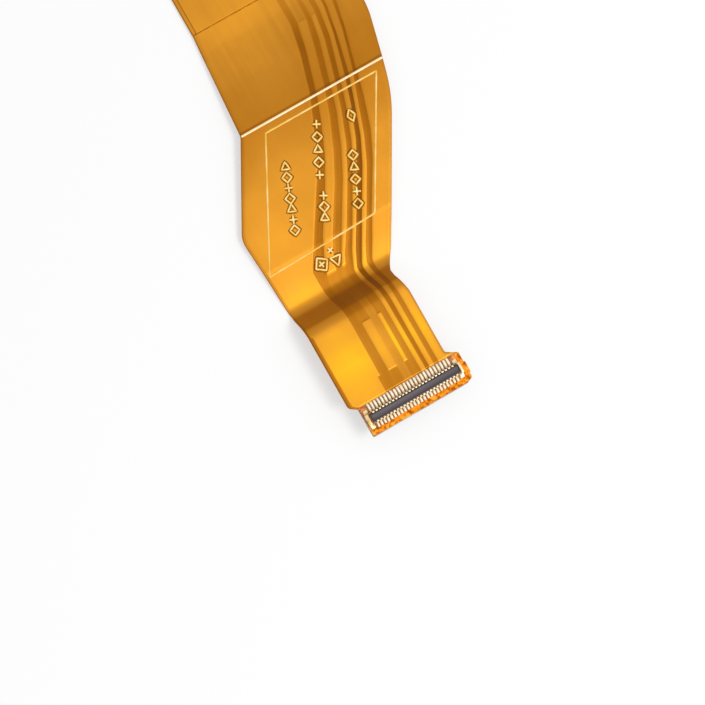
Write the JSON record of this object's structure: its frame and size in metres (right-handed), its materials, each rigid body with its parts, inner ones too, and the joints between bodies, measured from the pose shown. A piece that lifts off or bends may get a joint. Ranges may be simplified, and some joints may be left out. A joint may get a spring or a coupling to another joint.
{
  "type": "flat flex cable",
  "caption": "Pre-formed flexible printed circuit in amber film, with a fine-pitch board connector on a stiffened tab at each end.",
  "frame": {"origin": "middle of the near connector's mating face", "axes": "+Z out of the mating faces, +Y from the near connector along the ribbon, +X along the connector's rows"},
  "size_m": [0.0237, 0.0956, 0.0029],
  "materials": {
    "polyimide": "glossy amber polyimide film",
    "polyimide_back": "amber polyimide film, satin",
    "shield": "amber cover film, satin",
    "copper_foil": "etched copper foil",
    "tinned_land": "tinned copper",
    "housing": "dark grey moulded plastic",
    "contact": "gold-flashed copper alloy",
    "nail": "gold-flashed copper alloy",
    "adhesive": "cured adhesive film",
    "stiffener": "dull grey steel sheet"
  },
  "bodies": {
    "root": {"base_film": "polyimide_back", "ground_plane": "copper_foil", "back_coverlay": "polyimide_back", "front_coverlay": "polyimide", "shield_film": "shield", "ground_pour": "copper_foil", "supply_pour": "copper_foil", "trace_1": "copper_foil", "trace_2": "copper_foil", "trace_3": "copper_foil", "trace_4": "copper_foil", "bar_1": "copper_foil", "bar_2": "copper_foil", "near_housing": "housing", "near_front_contacts": "contact", "near_back_contacts": "contact", "near_left_nail": "nail", "near_right_nail": "nail", "near_contact_lands": "tinned_land", "near_nail_lands": "tinned_land", "near_stiffener_adhesive": "adhesive", "near_stiffener": "stiffener", "far_housing": "housing", "far_front_contacts": "contact", "far_back_contacts": "contact", "far_left_nail": "nail", "far_right_nail": "nail", "far_contact_lands": "tinned_land", "far_nail_lands": "tinned_land", "far_stiffener_adhesive": "adhesive", "far_stiffener": "stiffener"}
  },
  "joints": []
}
